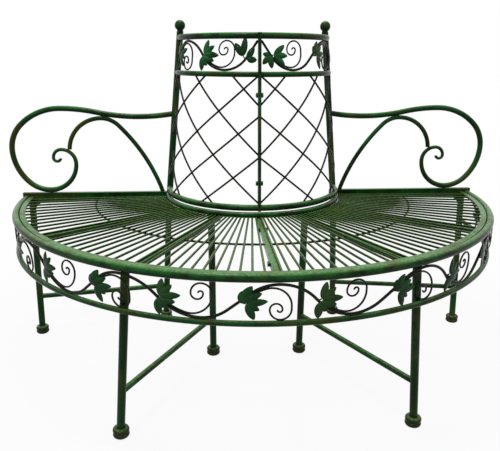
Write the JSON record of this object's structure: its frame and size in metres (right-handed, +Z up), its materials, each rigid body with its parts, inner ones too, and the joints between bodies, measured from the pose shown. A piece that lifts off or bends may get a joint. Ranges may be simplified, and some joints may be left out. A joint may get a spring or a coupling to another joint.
{
  "type": "wrought iron tree bench",
  "caption": "Half-round wrought iron garden bench for a tree trunk, with a slatted ring seat, trellis back, vine friezes, scrolled arms and bun feet.",
  "frame": {"origin": "middle of the bounding box at floor level", "axes": "+Z up, -Y towards the front of the seat where a person sits, +X to the right as seen from the front"},
  "size_m": [1.3466, 0.709, 0.88],
  "materials": {
    "frame": "satin green paint with rubbed olive highlights",
    "rods": "satin dark green paint",
    "vine": "satin green-brown antique paint",
    "leaves": "satin mid green paint",
    "feet": "satin brown-black antique paint",
    "hardware": "satin green paint over zinc-plated screws"
  },
  "bodies": {
    "root": {"apron_leaves_left": "leaves", "apron_leaves_right": "leaves", "apron_rail_left": "frame", "apron_rail_right": "frame", "apron_scrolls_left": "vine", "apron_scrolls_right": "vine", "apron_vine_left": "vine", "apron_vine_right": "vine", "arm_left": "frame", "arm_right": "frame", "arm_stay_left": "frame", "arm_stay_right": "frame", "back_edge_left": "frame", "back_edge_right": "frame", "back_leaves_left": "leaves", "back_leaves_right": "leaves", "back_leg_left": "frame", "back_leg_right": "frame", "back_low_ring_left": "frame", "back_low_ring_right": "frame", "back_mid_rail_left": "frame", "back_mid_rail_right": "frame", "back_post_left": "frame", "back_post_right": "frame", "back_scrolls_left": "vine", "back_scrolls_right": "vine", "back_top_rail_left": "frame", "back_top_rail_right": "frame", "back_vine_left": "vine", "back_vine_right": "vine", "feet": "feet", "finials": "frame", "front_leg_left": "frame", "front_leg_right": "frame", "gusset_left": "frame", "gusset_right": "frame", "inner_leg_left": "frame", "inner_leg_right": "frame", "post_leg_left": "frame", "post_leg_right": "frame", "radial_bars_left": "frame", "radial_bars_right": "frame", "seam_bar_left": "frame", "seam_bar_right": "frame", "seam_bolts": "hardware", "seam_nuts": "hardware", "seat_band_left": "frame", "seat_band_right": "frame", "seat_inner_ring_left": "frame", "seat_inner_ring_right": "frame", "seat_rim_left": "frame", "seat_rim_right": "frame", "seat_slats_left": "rods", "seat_slats_right": "rods", "slat_support_left": "rods", "slat_support_right": "rods", "stretchers_left": "frame", "stretchers_right": "frame", "trellis_left": "rods", "trellis_right": "rods"}
  },
  "joints": []
}
